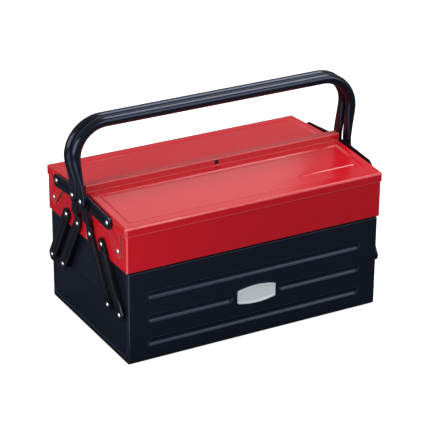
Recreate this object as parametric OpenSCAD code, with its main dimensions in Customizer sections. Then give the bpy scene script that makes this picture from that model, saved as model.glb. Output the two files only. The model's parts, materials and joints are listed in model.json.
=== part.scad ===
// Two-stage cantilever tool box in pressed sheet steel, with two trays,
// two hinged lids and a pair of carrying handles.
// x runs along the length, y from front (-) to rear (+), z up.
// The origin is the middle of the underside. All sizes are in mm.

/* [Base box] */
// Length of the base box
base_w = 352; // [340:1:356]
// Depth of the base box, front to rear
base_d = 218; // [214:1:218.5]
// Height of the base box
base_h = 122.5; // [120:0.5:122.5]
// Thickness of the sheet steel
sheet = 1; // [0.8:0.1:1]
// Radius of the folded bottom edges at front and rear
base_fold_r = 7; // [4:1:8]
// Radius of the bottom edges at the ends
base_end_r = 3.5; // [2:0.5:5]
// Radius of the upright corners
corner_r = 2.5; // [2:0.5:3]

/* [Pressed grooves] */
// Length of the long grooves
groove_l = 300; // [260:5:310]
// Width of a groove at the face
groove_w = 9.5; // [8:0.5:11]
// Depth of a groove
groove_depth = 2.6; // [2:0.1:3]
// Height of the lowest groove
groove_z = 26.5; // [24:0.5:29]
// Spacing of the grooves
groove_pitch = 31.5; // [28:0.5:32]
// Plain length left in the middle groove for the badge
badge_seat_l = 66; // [62:1:72]

/* [Badge] */
// Length of the badge
badge_l = 52.5; // [44:0.5:56]
// Height of the badge at its middle
badge_h = 23; // [20:0.5:24]
// Height of the badge at its straight ends
badge_end_h = 16; // [14:0.5:18]

/* [Trays] */
// Length of a tray
tray_w = 357.2; // [356.8:0.1:357.4]
// Height of a tray
tray_h = 51; // [49:0.5:51]
// Distance from the centre plane to the outer face of a tray
tray_reach = 110; // [109.6:0.1:110.2]

/* [Lids] */
// Length of a lid
lid_w = 360; // [359.8:0.1:360.2]
// Distance from the centre plane to the front of a lid
lid_reach = 111.4; // [111.4:0.1:112]
// Height of the lid top at its front edge
lid_front_z = 184.2; // [184:0.1:185.5]
// Height of the lid top beside the centre ridge
lid_back_z = 190.5; // [189.5:0.5:191.5]
// Height of the top of the centre ridge
ridge_top_z = 199.5; // [197.5:0.5:199.5]
// Width of the centre ridge of one lid
ridge_w = 6; // [5.5:0.5:7]
// Depth of the dished panel below the lid top
lid_sink = 1; // [0.6:0.1:1.2]
// Radius of the padlock hole through the ridges
padlock_r = 3.5; // [3:0.25:3.5]

/* [Linkage] */
// Width of the links
link_w = 16; // [14:1:17]
// Thickness of the links and lid arms
link_t = 2; // [1.8:0.1:2]
// Width of the lid arms
arm_w = 17; // [15:1:17]
// Radius of the rivet shanks
rivet_r = 2; // [1.8:0.1:2]
// Radius of the rivet heads
head_r = 3.4; // [3:0.1:3.6]

/* [Handles] */
// Diameter of the handle tube
tube_d = 13; // [12:0.5:13]
// Distance from the box centre to the middle of a handle leg
leg_x = 194.5; // [194.3:0.1:196]
// Height of the grip bar centre
bar_z = 279; // [278:0.5:290]
// Distance from the centre plane to a grip bar centre
bar_y = 7; // [6.9:0.1:7.5]
// Bend radius of the handle tube, to its centre line
bend_r = 42; // [38:1:46]
// Width of the flattened leg ends
flat_w = 17; // [15:1:18]
// Height above the pivot where a leg becomes a round tube
round_from = 48; // [30:1:48]

/* [Hidden] */

$fn = 64;
eps = 0.01;
fit = 0.05;
front = 1;
rear = -1;
right = 1;
left = -1;

// Pivots of the front half, as [y, z]; the rear half is the front half turned half a turn
base_outer_pivot = [-96, 65.5];
base_inner_pivot = [-64, 65.5];
tray_outer_pivot = [-49.5, 140.5];
tray_inner_pivot = [-17.5, 140.5];
lid_hinge = [-90, 147.5];
arm_outer_pivot = [-71, 178];
handle_pivot = [-11.5, 183];

// Faces along x, counted outwards from the box centre
base_plate_x = base_w / 2 - sheet;
tray_x = tray_w / 2;
lid_x = lid_w / 2;
link_x = lid_x + 0.5;
arm_x = link_x + link_t + 0.2;
crank_x = arm_x + link_t + 0.3;
handle_x = crank_x + link_t + 0.3;
handle_t = 4;

// Distance from the handle pivot to the grip bar
handle_rise = norm([bar_z - handle_pivot[1], handle_pivot[0] + bar_y]);

// Radius of the bar that presses a groove
groove_r = (groove_w * groove_w / 4 + groove_depth * groove_depth) / (2 * groove_depth);

tray_z = base_h + 1.5;
tray_top = tray_z + tray_h;
tray_gap = 0.75;
tray_fold_r = 3;
tray_corner_r = 3;
tray_pan = 2;
lid_gap = 0.25;
lid_edge_r = 3.5;
lid_corner_r = 4.5;
skirt_z = 173;
lid_end_r = 3;
// Floor of the dished panel and the label field of a lid, as [x0, x1, y0, y1] along the lid's top
lid_panel = [14 - lid_w / 2, lid_w / 2 - 14, 16, 91];
label_field = [78, 159, 21, 37];
label_sink = 0.6;
arm_hole_r = 4.3;
spacer_r = 5;
hole_r = rivet_r + fit;

navy = "#171a23";
red = "#b81f2d";
black = "#1a1b20";
bright = "#d9dde0";

// ---- helpers -------------------------------------------------------------

// Puts a front piece at its own half of the box
module on_half(half) {
    rotate([0, 0, half < 0 ? 180 : 0])
        children();
}

// Puts a right-hand front piece at its own end and half of the box
module place(half, end) {
    flip = end * half < 0 ? 1 : 0;
    on_half(half)
        mirror([flip, 0, 0])
            children();
}

// Extrudes a [y, z] outline along x, from x0 over length t
module along_x(x0, t) {
    translate([x0, 0, 0])
        rotate([90, 0, 90])
            linear_extrude(height = t)
                children();
}

// Round bar along x through the [y, z] point p
module pin(p, x0, t, r) {
    translate([x0, p[0], p[1]])
        rotate([0, 90, 0])
            cylinder(h = t, r = r);
}

// Flat outline with rounded lower corners, its foot at z = 0
module fold_outline(y0, y1, h, r) {
    translate([y0, r])
        square([y1 - y0, h - r]);
    translate([y0 + r, 0])
        square([y1 - y0 - 2 * r, h]);
    for (y = [y0 + r, y1 - r])
        translate([y, r])
            circle(r = r);
}

// Rectangle with all four corners rounded
module round_rect(x0, x1, y0, y1, r) {
    translate([x0 + r, y0])
        square([x1 - x0 - 2 * r, y1 - y0]);
    translate([x0, y0 + r])
        square([x1 - x0, y1 - y0 - 2 * r]);
    for (x = [x0 + r, x1 - r], y = [y0 + r, y1 - r])
        translate([x, y])
            circle(r = r);
}

// Straight-sided bar outline with round ends at a and b
module stadium(a, b, w) {
    v = b - a;
    translate(a)
        rotate(atan2(v[1], v[0])) {
            translate([0, -w / 2])
                square([norm(v), w]);
            for (d = [0, norm(v)])
                translate([d, 0])
                    circle(d = w);
        }
}

// Extrudes an [x, z] outline along y, from y0 over length t
module along_y(y0, t) {
    translate([0, y0 + t, 0])
        rotate([90, 0, 0])
            linear_extrude(height = t)
                children();
}

// Box with rounded lower edges, at front and rear by fold and at the ends by end_fold, and
// rounded upright corners
module pressed_box(x1, y0, y1, z0, h, fold, end_fold, corner) {
    intersection() {
        translate([0, 0, z0])
            along_x(-x1, 2 * x1)
                fold_outline(y0, y1, h, fold);
        translate([0, 0, z0])
            along_y(y0 - 1, y1 - y0 + 2)
                fold_outline(-x1, x1, h, end_fold);
        translate([0, 0, z0])
            linear_extrude(height = h)
                round_rect(-x1, x1, y0, y1, corner);
    }
}

// Half section of a rivet: tail from -tail_h to 0, shank up to l, domed head on l
module rivet_section(l, tail_h, tail_r, rise) {
    ball = (head_r * head_r + rise * rise) / (2 * rise);
    translate([0, -tail_h])
        square([tail_r, tail_h]);
    translate([0, -eps])
        square([rivet_r, l + 2 * eps]);
    intersection() {
        translate([0, l + rise - ball])
            circle(r = ball);
        translate([0, l])
            square([head_r, rise + 1]);
    }
}

// Rivet from a flat inner head at x0 to a domed outer head on the face at x1
module rivet(p, x0, x1, tail_h = 1.2, tail_r = head_r) {
    translate([x0, p[0], p[1]])
        rotate([0, 90, 0])
            rotate_extrude()
                rivet_section(x1 - x0, tail_h, tail_r, 1.5);
}

// Bush between two faces
module spacer(p, x0, x1, r) {
    difference() {
        pin(p, x0, x1 - x0, r);
        pin(p, x0 - 1, x1 - x0 + 2, hole_r);
    }
}

// ---- base box ------------------------------------------------------------

// Round bar with ball ends that presses one groove into the face y = 0
module groove_bar(x0, x1, z, grow) {
    inset = groove_w / 2;
    translate([0, groove_depth - groove_r, z]) {
        translate([x0 + inset, 0, 0])
            rotate([0, 90, 0])
                cylinder(h = x1 - x0 - 2 * inset, r = groove_r + grow);
        for (x = [x0 + inset, x1 - inset])
            translate([x, 0, 0])
                sphere(r = groove_r + grow);
    }
}

// All grooves of one face; the middle one is split where the badge sits
module face_grooves(grow, split) {
    half = groove_l / 2;
    seat = badge_seat_l / 2;
    for (k = [0, 2])
        groove_bar(-half, half, groove_z + k * groove_pitch, grow);
    for (span = split ? [[-half, -seat], [seat, half]] : [[-half, half]])
        groove_bar(span[0], span[1], groove_z + groove_pitch, grow);
}

// Puts what is drawn on the plane y = 0 on the front face, or on the rear face at turn 180
module on_face(turn) {
    rotate([0, 0, turn])
        translate([0, -base_d / 2, 0])
            children();
}

// Wrapped front, bottom and rear with a narrow in-turned flange at each end
module base_body() {
    hw = base_w / 2;
    hd = base_d / 2;
    flange = 5;
    foot_flange = 9;
    hem = 6;
    badge_z = groove_z + groove_pitch;
    color(navy)
    difference() {
        union() {
            difference() {
                pressed_box(hw, -hd, hd, 0, base_h, base_fold_r, base_end_r, corner_r);
                pressed_box(hw - sheet, -hd + sheet, hd - sheet, sheet, base_h, base_fold_r - sheet,
                    base_end_r - sheet, corner_r - sheet);
                translate([0, 0, foot_flange])
                    along_x(-hw - 1, base_w + 2)
                        fold_outline(-hd + flange, hd - flange, base_h, base_fold_r);
            }
            for (s = [-1, 1])
                translate([-hw + 2 * sheet + fit, s * (hd - 1.5 * sheet) - sheet / 2, base_h - hem])
                    cube([base_w - 4 * sheet - 2 * fit, sheet, hem]);
            for (turn = [0, 180])
                on_face(turn)
                    intersection() {
                        face_grooves(sheet, turn == 0);
                        translate([-hw, sheet / 2, 0])
                            cube([base_w, 10, base_h]);
                    }
        }
        for (turn = [0, 180])
            on_face(turn)
                face_grooves(0, turn == 0);
        for (x = [-1, 1])
            translate([x * badge_l / 4, -hd - 1, badge_z])
                rotate([-90, 0, 0])
                    cylinder(h = 4, r = hole_r);
    }
}

// Flat end plate inside the flange, with a hem along its top
module base_end() {
    hd = base_d / 2 - corner_r - fit;
    foot_z = base_fold_r + fit;
    hem = 7;
    color(navy)
    difference() {
        union() {
            translate([base_plate_x - sheet, -hd, foot_z])
                cube([sheet, 2 * hd, base_h - foot_z]);
            translate([base_plate_x - 2 * sheet, -hd + 2 * sheet, base_h - hem])
                cube([sheet, 2 * hd - 4 * sheet, hem]);
        }
        for (s = [-1, 1])
            for (p = [base_outer_pivot, base_inner_pivot])
                pin([s * p[0], p[1]], base_plate_x - 5, 10, hole_r);
    }
}

// Barrel-shaped plate: straight ends, arched top and bottom
module barrel(l, h, end_h) {
    rise = (h - end_h) / 2;
    arc_r = (l * l / 4 + rise * rise) / (2 * rise);
    intersection() {
        translate([0, h / 2 - arc_r])
            circle(r = arc_r, $fn = 180);
        translate([0, arc_r - h / 2])
            circle(r = arc_r, $fn = 180);
        square([l, h], center = true);
    }
}

// Blank badge with a raised rim, held by two posts through the sheet
module badge() {
    rim = 1.6;
    back = 1.6;
    proud = 0.9;
    color(bright)
    translate([0, -base_d / 2, groove_z + groove_pitch])
        rotate([90, 0, 0]) {
            difference() {
                linear_extrude(height = back + proud)
                    barrel(badge_l, badge_h, badge_end_h);
                translate([0, 0, back])
                    linear_extrude(height = proud + 1)
                        barrel(badge_l - 2 * rim, badge_h - 2 * rim, badge_end_h - 2 * rim);
            }
            for (x = [-1, 1])
                translate([x * badge_l / 4, 0, -sheet - 1.2])
                    cylinder(h = sheet + 1.2 + eps, r = rivet_r);
        }
}

module base_link_spacers() {
    color(black)
    for (half = [front, rear], end = [left, right])
        place(half, end)
            for (p = [base_outer_pivot, base_inner_pivot])
                spacer(p, base_plate_x, link_x - fit, spacer_r);
}

module base_link_rivets() {
    color(bright)
    for (half = [front, rear], end = [left, right])
        place(half, end)
            for (p = [base_outer_pivot, base_inner_pivot])
                rivet(p, base_plate_x - sheet, link_x + link_t + fit);
}

// ---- trays ---------------------------------------------------------------

module tray_shell() {
    difference() {
        pressed_box(tray_x, -tray_reach, -tray_gap, tray_z, tray_h, tray_fold_r, tray_fold_r,
            tray_corner_r);
        pressed_box(tray_x - sheet, -tray_reach + sheet, -tray_gap - sheet, tray_z + sheet, tray_h,
            tray_fold_r - sheet, tray_fold_r - sheet, tray_corner_r - sheet);
    }
}

// Folded bottom and long walls, with a hem along the top of each wall
module tray_body() {
    seam = tray_x - tray_pan;
    hem = 5;
    color(red) {
        intersection() {
            tray_shell();
            translate([-seam, -tray_reach - 1, 0])
                cube([2 * seam, tray_reach + 2, tray_top + 1]);
        }
        for (y = [-tray_reach + sheet, -tray_gap - 2 * sheet])
            translate([-seam, y, tray_top - hem])
                cube([2 * seam, sheet, hem]);
    }
}

// Shallow pressed pan that closes one end of a tray, with a slot along the front edge of the
// lid's ear or along its sloping edge
module tray_end(front_slot) {
    seam = tray_x - tray_pan + fit;
    slot_w = 1.8;
    color(red)
    difference() {
        intersection() {
            tray_shell();
            translate([seam, -tray_reach - 1, 0])
                cube([tray_pan + 1, tray_reach + 2, tray_top + 1]);
        }
        for (p = [tray_outer_pivot, tray_inner_pivot, lid_hinge])
            pin(p, seam - 5, 10, hole_r);
        along_x(seam - 5, 10)
            if (front_slot)
                stadium(lid_hinge + [-9.6, -4], lid_hinge + [-9.6, 23.5], slot_w);
            else
                stadium(lid_hinge + [8, -4.5], lid_hinge + [26, 17], slot_w);
    }
}

module tray_spacers() {
    color(black)
    for (end = [left, right])
        place(front, end)
            for (p = [tray_outer_pivot, tray_inner_pivot])
                spacer(p, tray_x, link_x - fit, spacer_r);
}

module tray_rivets() {
    color(bright)
    for (end = [left, right])
        place(front, end)
            for (p = [tray_outer_pivot, tray_inner_pivot])
                rivet(p, tray_x - sheet, link_x + link_t + fit);
}

module lid_hinge_rivets() {
    color(bright)
    for (end = [left, right])
        place(front, end)
            rivet(lid_hinge, tray_x - sheet, lid_x + fit);
}

// ---- lids ----------------------------------------------------------------

// Height of the lid top at the distance y from the centre plane
function lid_top_z(y) =
    lid_front_z + (lid_back_z - lid_front_z) * (y + lid_reach) / (lid_reach - ridge_w);

// Section of a lid, shrunk by t, down to the height foot
module lid_section(t, foot) {
    out_y = -lid_reach + t;
    in_y = -lid_gap - t;
    ridge_y = -lid_gap - ridge_w + t;
    slope_end_y = ridge_y + 2 * t;
    r = lid_edge_r - t;
    front_z = lid_front_z - t;
    ridge_z = ridge_top_z - t;
    polygon([
        [out_y, foot], [out_y, front_z - r], [out_y + r, front_z],
        [slope_end_y, lid_top_z(slope_end_y - t) - t], [slope_end_y, foot]
    ]);
    translate([out_y + r, front_z - r])
        circle(r = r);
    translate([ridge_y, foot])
        square([in_y - ridge_y, ridge_z - foot - 1.5]);
    translate([ridge_y + 1, ridge_z - 3])
        square([in_y - ridge_y - 1.5, 3]);
    translate([ridge_y + 1.5, ridge_z - 1.5])
        circle(r = 1.5);
    translate([in_y - 1, ridge_z - 1.5])
        circle(r = 1);
    translate([in_y - 2, ridge_z - 2.5])
        square([1, 2.5]);
}

// Puts what is drawn with the lid's top as the plane z = 0 and its front edge at y = 0
module on_top() {
    translate([0, -lid_reach, lid_front_z])
        rotate([atan2(lid_back_z - lid_front_z, lid_reach - ridge_w), 0, 0])
            children();
}

// Block over the area [x0, x1, y0, y1], between depths d0 and d1 below the lid's top
module top_block(area, d0, d1) {
    translate([area[0], area[2], -d1])
        cube([area[1] - area[0], area[3] - area[2], d1 - d0]);
}

// Dished hollow whose floor has the given area at the depth d1, and whose sides slope out by
// margins mx and my as they rise to the depth d0
module dish(area, mx, my, d0, d1) {
    x = [area[0], area[1]];
    y = [area[2], area[3]];
    intersection() {
        along_x(x[0] - mx, x[1] - x[0] + 2 * mx)
            polygon([[y[0], -d1], [y[1], -d1], [y[1] + my, -d0], [y[0] - my, -d0]]);
        along_y(y[0] - my, y[1] - y[0] + 2 * my)
            polygon([[x[0], -d1], [x[1], -d1], [x[1] + mx, -d0], [x[0] - mx, -d0]]);
    }
}

// Area that leaves a border of width m around another
function grown(area, m) = [area[0] - m, area[1] + m, area[2] - m, area[3] + m];

// Body of a lid, shrunk by t, with rounded front and end edges, down to the height foot
module lid_body(t, foot) {
    half = lid_x - t;
    ridge_y = -lid_gap - ridge_w;
    intersection() {
        along_x(-half, 2 * half)
            lid_section(t, foot);
        union() {
            on_top()
                rotate([180, 0, 0])
                    translate([0, 0, t])
                        along_y(-lid_reach - 20, lid_reach + 40)
                            fold_outline(-half, half, 60, lid_end_r - t);
            translate([-half, ridge_y, foot])
                cube([2 * half, ridge_w + 2, ridge_top_z - foot]);
        }
    }
}

// Ear of the end skirt: it reaches down to the hinge and slopes back up to the skirt's foot
module lid_ear_outline() {
    ear_r = 5.5;
    front_y = lid_hinge[0] - 8.5;
    foot_z = lid_hinge[1] - 7.5;
    slope_y = lid_hinge[0] + 31;
    polygon([
        [front_y, skirt_z + 6], [front_y, foot_z + ear_r], [front_y + ear_r, foot_z],
        [lid_hinge[0] + 5, foot_z + 1.5], [slope_y, skirt_z], [slope_y, skirt_z + 6]
    ]);
    translate([front_y + ear_r, foot_z + ear_r])
        circle(r = ear_r);
    translate([lid_hinge[0] + 0.5, foot_z + ear_r - 0.8])
        circle(r = ear_r);
}

// Pressed lid with a dished top panel, a sunk label field and the centre ridge, whose
// inner wall ends above the tray
module lid() {
    color(red)
    difference() {
        union() {
            intersection() {
                difference() {
                    lid_body(0, skirt_z);
                    lid_body(sheet, skirt_z - 1);
                }
                translate([0, 0, skirt_z])
                    linear_extrude(height = 30)
                        round_rect(-lid_x, lid_x, -lid_reach, 10, lid_corner_r);
            }
            intersection() {
                difference() {
                    translate([0, 0, skirt_z])
                        linear_extrude(height = lid_front_z - skirt_z - lid_edge_r)
                            round_rect(-lid_x, lid_x, -lid_reach, 10, lid_corner_r);
                    translate([0, 0, skirt_z - 1])
                        linear_extrude(height = 30)
                            round_rect(-lid_x + sheet, lid_x - sheet, -lid_reach + sheet, 10,
                                lid_corner_r - sheet);
                }
                translate([-lid_x, -lid_reach, skirt_z])
                    cube([lid_w, lid_reach - 50, 30]);
            }
            for (end = [left, right])
                place(front, end)
                    along_x(lid_x - sheet, sheet)
                        lid_ear_outline();
            on_top() {
                top_block(grown(lid_panel, 2), 0.5, sheet + lid_sink);
                top_block(grown(label_field, 1), 0.5, sheet + lid_sink + label_sink);
            }
        }
        translate([sheet - lid_x, -lid_gap - sheet - eps, skirt_z - 1])
            cube([lid_w - 2 * sheet, 2 * sheet, tray_top + 0.8 - skirt_z + 1]);
        on_top() {
            dish(lid_panel, 4, 3, 0, lid_sink);
            dish(label_field, 1.2, 1.2, lid_sink - eps, lid_sink + label_sink);
        }
        for (end = [left, right])
            place(front, end) {
                pin(lid_hinge, lid_x - 3, 6, hole_r);
                pin(arm_outer_pivot, lid_x - 3, 6, arm_hole_r);
            }
        translate([0, 1, (ridge_top_z + lid_back_z) / 2])
            rotate([90, 0, 0])
                cylinder(h = ridge_w + 4, r = padlock_r);
    }
}

// ---- lid arms ------------------------------------------------------------

// Flat strap from the handle pivot to the lid
module lid_arm() {
    color(black)
    difference() {
        along_x(arm_x, link_t)
            stadium(handle_pivot, arm_outer_pivot, arm_w);
        for (p = [handle_pivot, arm_outer_pivot])
            pin(p, arm_x - 1, link_t + 2, hole_r);
    }
}

module lid_arm_spacers() {
    color(black)
    for (end = [left, right])
        place(front, end)
            spacer(arm_outer_pivot, lid_x + 0.1, arm_x, spacer_r + 1);
}

// Rivet fixed in the arm, with a small tail inside the lid's clearance hole
module lid_arm_rivets() {
    color(bright)
    for (end = [left, right])
        place(front, end)
            rivet(arm_outer_pivot, lid_x - sheet, arm_x + link_t, 1, 2.6);
}

// ---- links ---------------------------------------------------------------

// Stiffening rib pressed outwards along a link, between a and b
module rib(a, b, x) {
    bulge_r = 5;
    rise = 1;
    v = b - a;
    intersection() {
        translate([x + rise - bulge_r, a[0], a[1]])
            rotate([atan2(v[1], v[0]), 0, 0]) {
                rotate([-90, 0, 0])
                    cylinder(h = norm(v), r = bulge_r);
                sphere(r = bulge_r);
                translate([0, norm(v), 0])
                    sphere(r = bulge_r);
            }
        translate([x - 0.5, -base_d, 0])
            cube([rise + 1, 2 * base_d, 300]);
    }
}

module outer_link() {
    v = (tray_outer_pivot - base_outer_pivot) / norm(tray_outer_pivot - base_outer_pivot);
    color(black)
    difference() {
        union() {
            along_x(link_x, link_t)
                stadium(base_outer_pivot, tray_outer_pivot, link_w);
            rib(base_outer_pivot + 14 * v, tray_outer_pivot - 12 * v, link_x + link_t);
        }
        for (p = [base_outer_pivot, tray_outer_pivot])
            pin(p, link_x - 1, link_t + 2, hole_r);
    }
}

// Cranked link: its upper part steps outwards to carry the lid arm and handle
module inner_link() {
    step_z0 = tray_inner_pivot[1] + 10;
    step_z1 = step_z0 + 8;
    top_z = handle_pivot[1] + link_w;
    v = (tray_inner_pivot - base_inner_pivot) / norm(tray_inner_pivot - base_inner_pivot);
    color(black)
    difference() {
        union() {
            along_x(link_x, link_t)
                stadium(base_inner_pivot, tray_inner_pivot, link_w);
            rib(base_inner_pivot + 14 * v, tray_inner_pivot - 12 * v, link_x + link_t);
            intersection() {
                along_x(link_x - 1, 20)
                    stadium(tray_inner_pivot, handle_pivot, link_w);
                rotate([90, 0, 0])
                    linear_extrude(height = 2 * base_d, center = true)
                        polygon([
                            [link_x, tray_inner_pivot[1] - link_w], [link_x, step_z0],
                            [crank_x, step_z1], [crank_x, top_z], [crank_x + link_t, top_z],
                            [crank_x + link_t, step_z1 - 1], [link_x + link_t, step_z0 - 1],
                            [link_x + link_t, tray_inner_pivot[1] - link_w]
                        ]);
            }
        }
        for (p = [base_inner_pivot, tray_inner_pivot])
            pin(p, link_x - 1, link_t + 2, hole_r);
        pin(handle_pivot, crank_x - 1, link_t + 2, hole_r);
    }
}

// ---- handles -------------------------------------------------------------

// Leg end drawn with the pivot at the origin and the leg along +z, for the right-hand end
module handle_leg() {
    flat_top = 12;
    difference() {
        union() {
            along_x(handle_x, handle_t)
                stadium([0, 0], [0, flat_top], flat_w);
            hull() {
                translate([handle_x, -flat_w / 2, flat_top])
                    cube([handle_t, flat_w, 0.2]);
                translate([leg_x, 0, round_from - 0.2])
                    cylinder(h = 0.2, d = tube_d, $fn = 32);
            }
            translate([leg_x, 0, round_from - 0.1])
                cylinder(h = handle_rise - bend_r - round_from + 0.1 + eps, d = tube_d);
        }
        rotate([0, 90, 0])
            translate([0, 0, handle_x - 1])
                cylinder(h = handle_t + 2, r = hole_r);
    }
    translate([leg_x - bend_r, 0, handle_rise - bend_r])
        rotate([90, 0, 0])
            rotate_extrude(angle = 90)
                translate([bend_r, 0])
                    circle(d = tube_d);
}

// One bent tube: two legs, two bends and the grip bar, leaning in to the centre plane
module handle() {
    lean = atan2(handle_pivot[0] + bar_y, bar_z - handle_pivot[1]);
    color(black)
    translate([0, handle_pivot[0], handle_pivot[1]])
        rotate([lean, 0, 0]) {
            for (m = [0, 1])
                mirror([m, 0, 0])
                    handle_leg();
            translate([-leg_x + bend_r, 0, handle_rise])
                rotate([0, 90, 0])
                    cylinder(h = 2 * (leg_x - bend_r), d = tube_d);
        }
}

module handle_rivets() {
    color(bright)
    for (end = [left, right])
        place(front, end)
            rivet(handle_pivot, arm_x - fit, handle_x + handle_t + fit);
}

// ---- nodes ---------------------------------------------------------------

base_body();
place(front, left) base_end();  // base_end_left
place(front, right) base_end();  // base_end_right
badge();
base_link_spacers();
base_link_rivets();
on_half(front) tray_body();  // front_tray_body
place(front, left) tray_end(true);  // front_tray_end_left
place(front, right) tray_end(false);  // front_tray_end_right
on_half(front) tray_spacers();  // front_tray_spacers
on_half(front) tray_rivets();  // front_tray_rivets
on_half(front) lid();  // front_lid
on_half(front) lid_hinge_rivets();  // front_lid_hinge_rivets
place(front, left) lid_arm();  // front_lid_arm_left
place(front, right) lid_arm();  // front_lid_arm_right
on_half(front) lid_arm_spacers();  // front_lid_arm_spacers
on_half(front) lid_arm_rivets();  // front_lid_arm_rivets
place(front, left) outer_link();  // front_outer_link_left
place(front, right) outer_link();  // front_outer_link_right
place(front, left) inner_link();  // front_inner_link_left
place(front, right) inner_link();  // front_inner_link_right
on_half(front) handle();  // front_handle
on_half(front) handle_rivets();  // front_handle_rivets
on_half(rear) tray_body();  // rear_tray_body
place(rear, left) tray_end(false);  // rear_tray_end_left
place(rear, right) tray_end(true);  // rear_tray_end_right
on_half(rear) tray_spacers();  // rear_tray_spacers
on_half(rear) tray_rivets();  // rear_tray_rivets
on_half(rear) lid();  // rear_lid
on_half(rear) lid_hinge_rivets();  // rear_lid_hinge_rivets
place(rear, left) lid_arm();  // rear_lid_arm_left
place(rear, right) lid_arm();  // rear_lid_arm_right
on_half(rear) lid_arm_spacers();  // rear_lid_arm_spacers
on_half(rear) lid_arm_rivets();  // rear_lid_arm_rivets
place(rear, left) outer_link();  // rear_outer_link_left
place(rear, right) outer_link();  // rear_outer_link_right
place(rear, left) inner_link();  // rear_inner_link_left
place(rear, right) inner_link();  // rear_inner_link_right
on_half(rear) handle();  // rear_handle
on_half(rear) handle_rivets();  // rear_handle_rivets
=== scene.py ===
"""Looks of the cantilever tool box: baked enamel, formed tubes, broken edges, studio and camera."""
import json
import logging
import math
from dataclasses import dataclass, field
from enum import Enum

import bmesh
import bpy
from mathutils import Matrix, Vector


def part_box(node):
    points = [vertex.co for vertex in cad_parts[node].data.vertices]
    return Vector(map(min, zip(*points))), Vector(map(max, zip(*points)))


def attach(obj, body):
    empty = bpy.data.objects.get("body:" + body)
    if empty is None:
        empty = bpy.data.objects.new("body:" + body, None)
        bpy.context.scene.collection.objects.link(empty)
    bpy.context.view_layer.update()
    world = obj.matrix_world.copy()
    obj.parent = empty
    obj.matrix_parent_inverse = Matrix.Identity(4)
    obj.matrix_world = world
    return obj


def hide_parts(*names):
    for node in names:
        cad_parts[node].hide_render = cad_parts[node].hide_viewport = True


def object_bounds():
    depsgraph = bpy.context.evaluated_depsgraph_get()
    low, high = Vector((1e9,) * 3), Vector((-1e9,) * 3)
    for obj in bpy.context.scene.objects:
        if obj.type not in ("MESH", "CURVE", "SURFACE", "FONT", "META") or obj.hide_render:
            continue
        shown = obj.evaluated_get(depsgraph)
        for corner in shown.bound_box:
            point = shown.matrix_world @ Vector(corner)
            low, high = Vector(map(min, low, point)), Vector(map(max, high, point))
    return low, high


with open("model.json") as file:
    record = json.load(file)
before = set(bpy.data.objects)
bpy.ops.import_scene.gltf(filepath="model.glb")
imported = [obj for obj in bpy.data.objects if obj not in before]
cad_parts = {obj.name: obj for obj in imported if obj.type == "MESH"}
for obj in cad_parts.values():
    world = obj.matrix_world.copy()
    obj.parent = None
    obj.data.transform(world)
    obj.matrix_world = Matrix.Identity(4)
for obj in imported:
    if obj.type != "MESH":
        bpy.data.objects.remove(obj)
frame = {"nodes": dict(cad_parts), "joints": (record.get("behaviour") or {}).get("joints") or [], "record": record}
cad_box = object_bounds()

MM = 0.001
LOG = logging.getLogger("tool_box")


class Half(Enum):
    """The two halves of the box, with the sign of their side along y."""

    FRONT = -1
    REAR = 1

    @property
    def prefix(self) -> str:
        """Start of the node and body names of this half."""
        return self.name.lower() + "_"


# ---- small tools -----------------------------------------------------------


def linear(hex_colour: str) -> tuple[float, float, float, float]:
    """Turns an sRGB hex colour into a linear RGBA.

    Args:
        hex_colour: Colour such as "#b5121e".

    Returns:
        Linear red, green, blue and an alpha of 1.
    """
    values = [int(hex_colour[i:i + 2], 16) / 255 for i in (1, 3, 5)]
    rgb = [v / 12.92 if v <= 0.04045 else ((v + 0.055) / 1.055) ** 2.4 for v in values]
    return rgb[0], rgb[1], rgb[2], 1.0


def add_node(tree: bpy.types.NodeTree, kind: str, settings: dict | None = None,
             links: dict | None = None) -> bpy.types.Node:
    """Adds one node with its settings and incoming links.

    Args:
        tree: Node tree that takes the node.
        kind: Blender's type name of the node.
        settings: Properties or input values, by name, or by number for an input.
        links: Sockets to join to the inputs, by input name or number.

    Returns:
        The new node.
    """
    node = tree.nodes.new(kind)
    for name, value in (settings or {}).items():
        if isinstance(name, str) and hasattr(node, name):
            setattr(node, name, value)
        else:
            node.inputs[name].default_value = value
    for name, socket in (links or {}).items():
        tree.links.new(socket, node.inputs[name])
    return node


def empty_material(name: str) -> tuple[bpy.types.Material, bpy.types.NodeTree]:
    """Makes a material with no nodes.

    Args:
        name: Name of the material.

    Returns:
        The material and its node tree.
    """
    material = bpy.data.materials.new(name)
    material.use_nodes = True
    material.node_tree.nodes.clear()
    return material, material.node_tree


# ---- finishes --------------------------------------------------------------


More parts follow.
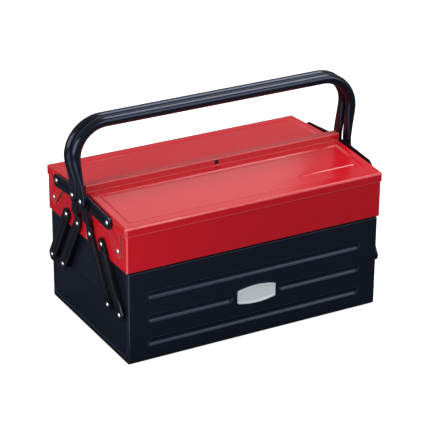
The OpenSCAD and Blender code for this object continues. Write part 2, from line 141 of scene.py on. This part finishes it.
@dataclass(frozen=True)
class BakedEnamel:
    """Sprayed and oven-baked enamel on pressed steel.

    To the eye it is an even, glossy colour whose reflections are slightly broken by
    orange peel, with a lighter colour along the folded edges: a painted highlight, partly thinner paint.
    """

    name: str
    colour: str
    # the edge colour is a painted highlight along the edges, partly thinner paint
    edge_highlight_colour: str
    roughness: float
    peel_mm: float = 2.6
    peel_height_um: float = 3.0
    tone_mm: float = 70.0
    highlight_edge_mm: float = 0.9
    highlight_share: float = 0.35
    highlight_dots: tuple[float, float] = (0.995, 0.85)
    tone_range: float = 0.02
    rough_range: float = 0.02
    specular_tint: str = "#ffffff"

    def build(self) -> bpy.types.Material:
        """Makes the node material."""
        material, tree = empty_material(self.name)
        place = add_node(tree, "ShaderNodeTexCoord").outputs["Object"]
        peel = add_node(tree, "ShaderNodeTexNoise",
                        {"Scale": 1 / (self.peel_mm * MM), "Detail": 2.0, "Roughness": 0.45},
                        {"Vector": place})
        tone = add_node(tree, "ShaderNodeTexNoise",
                        {"Scale": 1 / (self.tone_mm * MM), "Detail": 1.0}, {"Vector": place})
        bump = add_node(tree, "ShaderNodeBump",
                        {"Strength": 1.0, "Distance": self.peel_height_um * 1e-6},
                        {"Height": peel.outputs["Fac"]})
        # painted highlight: the edge colour lightens the paint along every edge, partly as thinner paint
        edge_highlight = self.edge_highlight_mask(tree)
        colour_and_highlight = add_node(tree, "ShaderNodeMix",
                        {"data_type": "RGBA", 6: linear(self.colour), 7: linear(self.edge_highlight_colour)},
                        {0: edge_highlight})
        shade = add_node(tree, "ShaderNodeMapRange",
                         {3: 1 - self.tone_range, 4: 1 + self.tone_range},
                         {0: tone.outputs["Fac"]})
        colour = add_node(tree, "ShaderNodeVectorMath", {"operation": "SCALE"},
                          {0: colour_and_highlight.outputs[2], "Scale": shade.outputs[0]})
        rough = add_node(tree, "ShaderNodeMapRange",
                         {3: self.roughness - self.rough_range, 4: self.roughness + self.rough_range},
                         {0: tone.outputs["Fac"]})
        shader = add_node(tree, "ShaderNodeBsdfPrincipled",
                          {"Metallic": 0.0, "IOR": 1.5,
                           "Specular Tint": linear(self.specular_tint)},
                          {"Base Color": colour.outputs[0], "Roughness": rough.outputs[0],
                           "Normal": bump.outputs[0]})
        add_node(tree, "ShaderNodeOutputMaterial", {}, {0: shader.outputs[0]})
        return material

    def edge_highlight_mask(self, tree: bpy.types.NodeTree) -> bpy.types.NodeSocket:
        """Adds nodes that are 0 on flat sheet and rise to highlight_share along its edges: the mask of the painted
        highlight, partly thinner paint.
        """
        bevel = add_node(tree, "ShaderNodeBevel", {"samples": 4, "Radius": self.highlight_edge_mm * MM})
        flat = add_node(tree, "ShaderNodeNewGeometry")
        same = add_node(tree, "ShaderNodeVectorMath", {"operation": "DOT_PRODUCT"},
                        {0: bevel.outputs[0], 1: flat.outputs["Normal"]})
        flat_dot, highlight_dot = self.highlight_dots
        highlight_mask = add_node(tree, "ShaderNodeMapRange",
                        {1: flat_dot, 2: highlight_dot, 3: 0.0, 4: self.highlight_share},
                        {0: same.outputs["Value"]})
        return highlight_mask.outputs[0]


@dataclass(frozen=True)
class ZincPlate:
    """Cold-headed steel rivet, zinc-plated in a barrel.

    To the eye it is bright silver with a soft, slightly mottled shine.
    """

    name: str = "zinc_plated_rivet_steel"
    colour: str = "#e4e7ea"
    dull_colour: str = "#b9bec4"
    grain_mm: float = 0.5
    grain_depth_um: float = 8.0
    roughness: tuple[float, float] = (0.22, 0.42)

    def build(self) -> bpy.types.Material:
        """Makes the node material."""
        material, tree = empty_material(self.name)
        place = add_node(tree, "ShaderNodeTexCoord").outputs["Object"]
        grain = add_node(tree, "ShaderNodeTexNoise",
                         {"Scale": 1 / (self.grain_mm * MM), "Detail": 3.0}, {"Vector": place})
        colour = add_node(tree, "ShaderNodeMix",
                          {"data_type": "RGBA", 6: linear(self.colour),
                           7: linear(self.dull_colour)}, {0: grain.outputs["Fac"]})
        smooth, dull = self.roughness
        rough = add_node(tree, "ShaderNodeMapRange", {3: smooth, 4: dull}, {0: grain.outputs["Fac"]})
        bump = add_node(tree, "ShaderNodeBump",
                        {"Strength": 0.6, "Distance": self.grain_depth_um * 1e-6},
                        {"Height": grain.outputs["Fac"]})
        shader = add_node(tree, "ShaderNodeBsdfPrincipled", {"Metallic": 1.0},
                          {"Base Color": colour.outputs[2], "Roughness": rough.outputs[0],
                           "Normal": bump.outputs[0]})
        add_node(tree, "ShaderNodeOutputMaterial", {}, {0: shader.outputs[0]})
        return material


@dataclass(frozen=True)
class SatinDieCast:
    """Die-cast plate sprayed with fine silver lacquer.

    To the eye it is pale silver, brighter than bare metal in shade, with a fine horizontal grain.
    """

    name: str = "silver_lacquered_die_cast"
    colour: str = "#f2f7fa"
    grain_colour: str = "#e0e7ec"
    grain_mm: float = 0.35
    grain_length_mm: float = 9.0
    grain_depth_um: float = 10.0
    roughness: tuple[float, float] = (0.3, 0.46)
    metal_share: float = 0.05

    def build(self) -> bpy.types.Material:
        """Makes the node material."""
        material, tree = empty_material(self.name)
        place = add_node(tree, "ShaderNodeTexCoord").outputs["Object"]
        stretched = add_node(tree, "ShaderNodeMapping",
                             {"Scale": (1 / (self.grain_length_mm * MM), 1 / (self.grain_mm * MM),
                                        1 / (self.grain_mm * MM))}, {"Vector": place})
        grain = add_node(tree, "ShaderNodeTexNoise", {"Scale": 1.0, "Detail": 2.0},
                         {"Vector": stretched.outputs[0]})
        colour = add_node(tree, "ShaderNodeMix",
                          {"data_type": "RGBA", 6: linear(self.colour),
                           7: linear(self.grain_colour)}, {0: grain.outputs["Fac"]})
        smooth, dull = self.roughness
        rough = add_node(tree, "ShaderNodeMapRange", {3: smooth, 4: dull}, {0: grain.outputs["Fac"]})
        bump = add_node(tree, "ShaderNodeBump",
                        {"Strength": 0.5, "Distance": self.grain_depth_um * 1e-6},
                        {"Height": grain.outputs["Fac"]})
        shader = add_node(tree, "ShaderNodeBsdfPrincipled", {"Metallic": self.metal_share},
                          {"Base Color": colour.outputs[2], "Roughness": rough.outputs[0],
                           "Normal": bump.outputs[0]})
        add_node(tree, "ShaderNodeOutputMaterial", {}, {0: shader.outputs[0]})
        return material


class Finish(Enum):
    """The finishes of the box, by the material slot that each one belongs to."""

    # the second colour of each enamel is a painted highlight along the edges, partly thinner paint
    BASE = ("base_enamel", BakedEnamel("blue_black_baked_enamel", "#141823", "#5a6272",
                                       roughness=0.28, highlight_share=0.7, highlight_edge_mm=1.6,
                                       specular_tint="#b9c4e6"))
    TRAY = ("tray_enamel", BakedEnamel("red_baked_enamel", "#c71624", "#ea7d80",
                                       roughness=0.17, highlight_share=0.75, highlight_edge_mm=1.5))
    LINK = ("link_enamel", BakedEnamel("black_link_enamel", "#0f1116", "#3c404c",
                                       roughness=0.2, peel_mm=1.8, highlight_share=0.5,
                                       specular_tint="#c2cdea"))
    HANDLE = ("handle_enamel", BakedEnamel("black_tube_enamel", "#11141c", "#3c404a",
                                           roughness=0.18, peel_mm=2.0, specular_tint="#b4c0e6"))
    RIVET = ("rivet_steel", ZincPlate())
    BADGE = ("badge_plate", SatinDieCast())

    @property
    def slot(self) -> str:
        """The record's material slot."""
        return self.value[0]


class PaintShop:
    """Builds each finish once and puts it on pieces."""

    def __init__(self) -> None:
        """Builds all finishes."""
        self.materials = {finish: finish.value[1].build() for finish in Finish}
        self.by_slot = {finish.slot: finish for finish in Finish}

    def paint(self, piece: bpy.types.Object, finish: Finish) -> None:
        """Gives a piece one finish over its whole surface."""
        if not piece.data.materials:
            piece.data.materials.append(self.materials[finish])
        for slot in piece.material_slots:
            slot.link = "OBJECT"
            slot.material = self.materials[finish]

    def finish_of(self, node_name: str) -> Finish:
        """The finish that the record's slot for this node stands for."""
        for row in frame["record"]["subparts"]:
            if row["node"] == node_name:
                return self.by_slot[row["material_slot"]]
        raise KeyError(node_name)


# ---- edges -----------------------------------------------------------------


def smooth_faces_group(crease_deg: tuple[float, float]) -> bpy.types.NodeTree:
    """Makes the node group that shades every face smooth, with creases at the shallow press lines.

    Args:
        crease_deg: Least and greatest angle of an edge that stays a crease.

    Returns:
        The node group.
    """
    tree = bpy.data.node_groups.new("smooth_faces", "GeometryNodeTree")
    tree.interface.new_socket("Geometry", in_out="INPUT", socket_type="NodeSocketGeometry")
    tree.interface.new_socket("Geometry", in_out="OUTPUT", socket_type="NodeSocketGeometry")
    source = add_node(tree, "NodeGroupInput")
    smooth = add_node(tree, "GeometryNodeSetShadeSmooth", {}, {0: source.outputs[0]})
    angle = add_node(tree, "GeometryNodeInputMeshEdgeAngle")
    least, greatest = (math.radians(d) for d in crease_deg)
    crease = add_node(tree, "FunctionNodeCompare",
                      {"data_type": "FLOAT", "operation": "EQUAL", "B": (least + greatest) / 2,
                       "Epsilon": (greatest - least) / 2}, {"A": angle.outputs[0]})
    lines = add_node(tree, "GeometryNodeSetShadeSmooth", {"domain": "EDGE", "Shade Smooth": False},
                     {0: smooth.outputs[0], 1: crease.outputs[0]})
    add_node(tree, "NodeGroupOutput", {}, {0: lines.outputs[0]})
    return tree


@dataclass
class EdgeBreak:
    """Edges as pressing, tumbling and paint leave them: small, even radii in place of sharp corners."""

    radius_mm: float = 0.4
    segments: int = 3
    sharp_deg: float = 32.0
    crease_deg: float = 11.0
    weld_mm: float = 0.002

    def __post_init__(self) -> None:
        """Makes the shared node group."""
        self.shade = smooth_faces_group((self.crease_deg, self.sharp_deg))

    def apply(self, piece: bpy.types.Object, radius_mm: float | None = None) -> None:
        """Breaks the edges of a piece with modifiers.

        Args:
            piece: Mesh object, whose own mesh isn't changed.
            radius_mm: Radius for this piece, or None for the usual one.
        """
        weld = piece.modifiers.new("weld_faces", "WELD")
        weld.merge_threshold = self.weld_mm * MM
        smooth = piece.modifiers.new("smooth_faces", "NODES")
        smooth.node_group = self.shade
        bevel = piece.modifiers.new("break_edges", "BEVEL")
        bevel.width = (radius_mm or self.radius_mm) * MM
        bevel.segments = self.segments
        bevel.limit_method = "ANGLE"
        bevel.angle_limit = math.radians(self.sharp_deg)
        bevel.miter_outer = "MITER_ARC"
        normals = piece.modifiers.new("weighted_normals", "WEIGHTED_NORMAL")
        normals.mode = "FACE_AREA"
        normals.weight = 100
        normals.keep_sharp = True


# ---- handles ---------------------------------------------------------------


@dataclass
class CarryHandle:
    """One carrying handle: a steel tube bent twice, its ends pressed flat for the pivot rivets."""

    half: Half
    tube_mm: float = 13.0
    bend_mm: float = 42.0
    flat_width_mm: float = 17.0
    flat_thick_mm: float = 4.0
    flat_top_mm: float = 12.0
    flat_inset_mm: float = 0.7
    toe_from_deg: float = 8.0
    round_from_mm: float = 54.0
    bar_height_mm: float = 279.0
    bar_offset_mm: float = 7.0
    around: int = 40
    bend_steps: int = 20
    taper_steps: int = 14
    end_steps: int = 8

    def __post_init__(self) -> None:
        """Works out places from the frame."""
        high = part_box(self.half.prefix + "handle")[1]
        self.leg_x = high.x - self.tube_mm / 2 * MM
        pivot = next(j for j in frame["joints"] if j["name"] == self.half.prefix + "handle_tilt")
        self.pivot = Vector(pivot["pos_m"])
        self.flat_x = self.leg_x - (self.tube_mm / 2 + self.flat_inset_mm - self.flat_thick_mm / 2) * MM

    def stations(self) -> list[tuple[Vector, float, float, float]]:
        """Centre, width, thickness and turn of each section, from the right-hand foot to the grip bar.

        Returns:
            Rows of (centre in the handle's own frame, width, thickness, turn in radians), in metres.
        """
        rows = []
        toe = self.flat_width_mm / 2
        for k in range(self.end_steps + 1):
            angle = math.radians(self.toe_from_deg + (90 - self.toe_from_deg) * k / self.end_steps)
            width = max(self.flat_width_mm * math.sin(angle), self.flat_thick_mm * 1.02)
            rows.append((Vector((self.flat_x, 0, -toe * math.cos(angle) * MM)), width * MM,
                         self.flat_thick_mm * MM, 0.0))
        for k in range(self.taper_steps + 1):
            t = k / self.taper_steps
            ease = (t + t * t * (3 - 2 * t)) / 2
            z = self.flat_top_mm + t * (self.round_from_mm - self.flat_top_mm)
            rows.append((Vector((self.flat_x + ease * (self.leg_x - self.flat_x), 0, z * MM)),
                         (self.flat_width_mm + ease * (self.tube_mm - self.flat_width_mm)) * MM,
                         (self.flat_thick_mm + ease * (self.tube_mm - self.flat_thick_mm)) * MM, 0.0))
        rise = self.rise()
        bend = self.bend_mm * MM
        for k in range(self.bend_steps + 1):
            turn = math.pi / 2 * k / self.bend_steps
            centre = Vector((self.leg_x - bend + bend * math.cos(turn), 0,
                             rise - bend + bend * math.sin(turn)))
            rows.append((centre, self.tube_mm * MM, self.tube_mm * MM, turn))
        return rows

    def rise(self) -> float:
        """Distance from the pivot to the grip bar, in metres."""
        across = abs(self.pivot.y) - self.bar_offset_mm * MM
        return math.hypot(self.bar_height_mm * MM - self.pivot.z, across)

    def ring(self, centre: Vector, width: float, thick: float, turn: float) -> list[Vector]:
        """Points of one section: a circle on the tube, a flat round-edged bar at the feet."""
        points = []
        straight = (width - thick) / 2
        for k in range(self.around):
            angle = 2 * math.pi * (k + 0.5) / self.around
            across = math.sin(angle) * thick / 2 + math.copysign(straight, math.sin(angle))
            out = math.cos(angle) * thick / 2
            points.append(centre + Vector((out * math.cos(turn), across, out * math.sin(turn))))
        return points

    def build(self) -> bpy.types.Object:
        """Sweeps the tube.

        Returns:
            The handle, riding on its body in place of the CAD node.
        """
        right = [self.ring(*row) for row in self.stations()]
        left = [[Vector((-p.x, p.y, p.z)) for p in ring] for ring in reversed(right)]
        mesh = bmesh.new()
        lean = math.atan2(abs(self.pivot.y) - self.bar_offset_mm * MM,
                          self.bar_height_mm * MM - self.pivot.z) * self.half.value
        stand = Matrix.Translation(self.pivot) @ Matrix.Rotation(lean, 4, "X")
        rings = [[mesh.verts.new(stand @ p) for p in ring] for ring in right + left]
        for a, b in zip(rings, rings[1:]):
            for k in range(self.around):
                n = (k + 1) % self.around
                mesh.faces.new((a[k], a[n], b[n], b[k]))
        mesh.faces.new(list(reversed(rings[0])))
        mesh.faces.new(rings[-1])
        bmesh.ops.recalc_face_normals(mesh, faces=mesh.faces)
        for face in mesh.faces:
            face.smooth = True
        data = bpy.data.meshes.new(self.half.prefix + "carry_handle")
        mesh.to_mesh(data)
        mesh.free()
        piece = bpy.data.objects.new(data.name, data)
        bpy.context.collection.objects.link(piece)
        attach(piece, self.half.prefix + "handle_body")
        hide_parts(self.half.prefix + "handle")
        LOG.info("%s: %d sections", piece.name, len(rings))
        return piece


# ---- studio ----------------------------------------------------------------


@dataclass(frozen=True)
class Softbox:
    """A rectangular studio lamp behind diffusion cloth, or a lit white card."""

    name: str
    place: Vector
    width_m: float
    height_m: float
    radiance: float
    facing: Vector | None = None

    def build(self, target: Vector) -> bpy.types.Object:
        """Makes the lamp.

        Args:
            target: Point that it faces when it has no point of its own.

        Returns:
            The lamp object.
        """
        lamp = bpy.data.lights.new(self.name, "AREA")
        lamp.shape = "RECTANGLE"
        lamp.size, lamp.size_y = self.width_m, self.height_m
        lamp.energy = self.radiance * math.pi * self.width_m * self.height_m
        piece = bpy.data.objects.new(self.name, lamp)
        bpy.context.collection.objects.link(piece)
        back = self.place - (self.facing or target)
        piece.location = self.place
        piece.rotation_euler = back.to_track_quat("Z", "Y").to_euler()
        piece.visible_camera = False
        LOG.info("%s: %.2f m from its target", self.name, back.length)
        return piece


@dataclass
class Studio:
    """Pale floor, white surroundings and soft lamps."""

    floor_m: float = 6.0
    ambient: float = 0.22
    mirrored: float = 0.3
    floor_bounce: str = "#4c4f58"
    floor_paint: str = "#c8c8c8"
    floor_seen: float = 0.82
    lamps: tuple[Softbox, ...] = (
        Softbox("top_softbox", Vector((0.72, 0.1, 1.65)), 0.95, 0.9, 7.5),
        Softbox("front_softbox", Vector((1.05, -1.4, 1.1)), 1.8, 1.2, 3.0),
        Softbox("left_softbox", Vector((-1.45, -0.26, 0.56)), 1.2, 0.8, 5.0),
        Softbox("rear_card", Vector((0.5, 0.9, 0.88)), 0.44, 0.42, 0.84,
                facing=Vector((0.5, 0.0, 0.88))),
        Softbox("table_card", Vector((-0.55, -0.42, 0.004)), 0.7, 0.56, 1.7,
                facing=Vector((-0.55, -0.42, 1.0))),
    )

    def build(self) -> None:
        """Makes the floor, the world and the lamps."""
        self.build_floor()
        self.build_world()
        middle = (cad_box[0] + cad_box[1]) / 2
        for lamp in self.lamps:
            lamp.build(middle)

    def build_floor(self) -> None:
        """Makes a floor that the camera sees nearly white, with the box's own shadow."""
        mesh = bmesh.new()
        bmesh.ops.create_grid(mesh, x_segments=8, y_segments=8, size=self.floor_m / 2)
        data = bpy.data.meshes.new("studio_floor")
        mesh.to_mesh(data)
        mesh.free()
        floor = bpy.data.objects.new("studio_floor", data)
        bpy.context.collection.objects.link(floor)
        material, tree = empty_material("pale_paper_floor")
        path = add_node(tree, "ShaderNodeLightPath")
        colour = add_node(tree, "ShaderNodeMix",
                          {"data_type": "RGBA", 6: linear(self.floor_bounce),
                           7: linear(self.floor_paint)},
                          {0: path.outputs["Is Camera Ray"]})
        paper = add_node(tree, "ShaderNodeBsdfDiffuse", {}, {"Color": colour.outputs[2]})
        glow_strength = add_node(tree, "ShaderNodeMath",
                                 {"operation": "MULTIPLY", 1: self.floor_seen},
                                 {0: path.outputs["Is Camera Ray"]})
        glow = add_node(tree, "ShaderNodeEmission", {"Color": (1, 1, 1, 1)},
                        {"Strength": glow_strength.outputs[0]})
        both = add_node(tree, "ShaderNodeAddShader", {}, {0: paper.outputs[0], 1: glow.outputs[0]})
        add_node(tree, "ShaderNodeOutputMaterial", {}, {0: both.outputs[0]})
        data.materials.append(material)

    def build_world(self) -> None:
        """Makes surroundings that look white to the camera and in reflections."""
        world = bpy.data.worlds.new("white_studio")
        world.use_nodes = True
        tree = world.node_tree
        tree.nodes.clear()
        path = add_node(tree, "ShaderNodeLightPath")
        seen = add_node(tree, "ShaderNodeMath", {"operation": "MAXIMUM"},
                        {0: path.outputs["Is Glossy Ray"], 1: path.outputs["Is Transmission Ray"]})
        strength = add_node(tree, "ShaderNodeMapRange", {3: self.ambient, 4: self.mirrored},
                            {0: seen.outputs[0]})
        shown = add_node(tree, "ShaderNodeMath", {"operation": "MAXIMUM"},
                         {0: strength.outputs[0], 1: path.outputs["Is Camera Ray"]})
        light = add_node(tree, "ShaderNodeBackground", {"Color": (1, 1, 1, 1)},
                         {"Strength": shown.outputs[0]})
        add_node(tree, "ShaderNodeOutputWorld", {}, {0: light.outputs[0]})
        bpy.context.scene.world = world


@dataclass
class PhotoCamera:
    """Camera at the photograph's viewing angle, solved from the base box's corners and grooves."""

    sensor_mm: float = 36.0
    lens_mm: float = 166.73
    azimuth_deg: float = -29.0361
    elevation_deg: float = 24.5793
    roll_deg: float = 0.3849
    distance_mm: float = 2522.54
    target_mm: tuple[float, float, float] = (1.7795, 0.0, 119.534)

    def build(self) -> bpy.types.Object:
        """Makes the scene's camera."""
        a, e, r = (math.radians(d) for d in (self.azimuth_deg, self.elevation_deg, self.roll_deg))
        back = Vector((math.sin(a) * math.cos(e), -math.cos(a) * math.cos(e), math.sin(e)))
        right = Vector((0, 0, 1)).cross(back).normalized()
        up = back.cross(right)
        axis_x = math.cos(r) * right + math.sin(r) * up
        axis_y = math.cos(r) * up - math.sin(r) * right
        camera = bpy.data.cameras.new("photo_camera")
        camera.lens = self.lens_mm
        camera.sensor_width = self.sensor_mm
        piece = bpy.data.objects.new("photo_camera", camera)
        bpy.context.collection.objects.link(piece)
        turn = Matrix((axis_x, axis_y, back)).transposed().to_4x4()
        place = Vector(self.target_mm) * MM + back * self.distance_mm * MM
        piece.matrix_world = Matrix.Translation(place) @ turn
        bpy.context.scene.camera = piece
        return piece


# ---- the whole box ---------------------------------------------------------


@dataclass
class ToolBox:
    """The box: its CAD nodes dressed, and the pieces made here."""

    shop: PaintShop = field(default_factory=PaintShop)
    edges: EdgeBreak = field(default_factory=EdgeBreak)
    rivet_edge_mm: float = 0.25

    def build(self) -> None:
        """Dresses every node and builds the replaced pieces."""
        made = []
        for half in Half:
            handle = CarryHandle(half).build()
            self.shop.paint(handle, Finish.HANDLE)
            made.append(half.prefix + "handle")
        for name, node in frame["nodes"].items():
            if name in made:
                continue
            finish = self.shop.finish_of(name)
            self.shop.paint(node, finish)
            self.edges.apply(node, self.rivet_edge_mm if finish is Finish.RIVET else None)
            LOG.info("%s: %s", name, finish.name.lower())


def main() -> None:
    """Builds the camera, the box and the studio."""
    logging.basicConfig(level=logging.INFO, format="%(name)s: %(message)s")
    bpy.context.scene.view_settings.view_transform = "Standard"
    PhotoCamera().build()
    ToolBox().build()
    Studio().build()


if __name__ == "__main__":
    main()
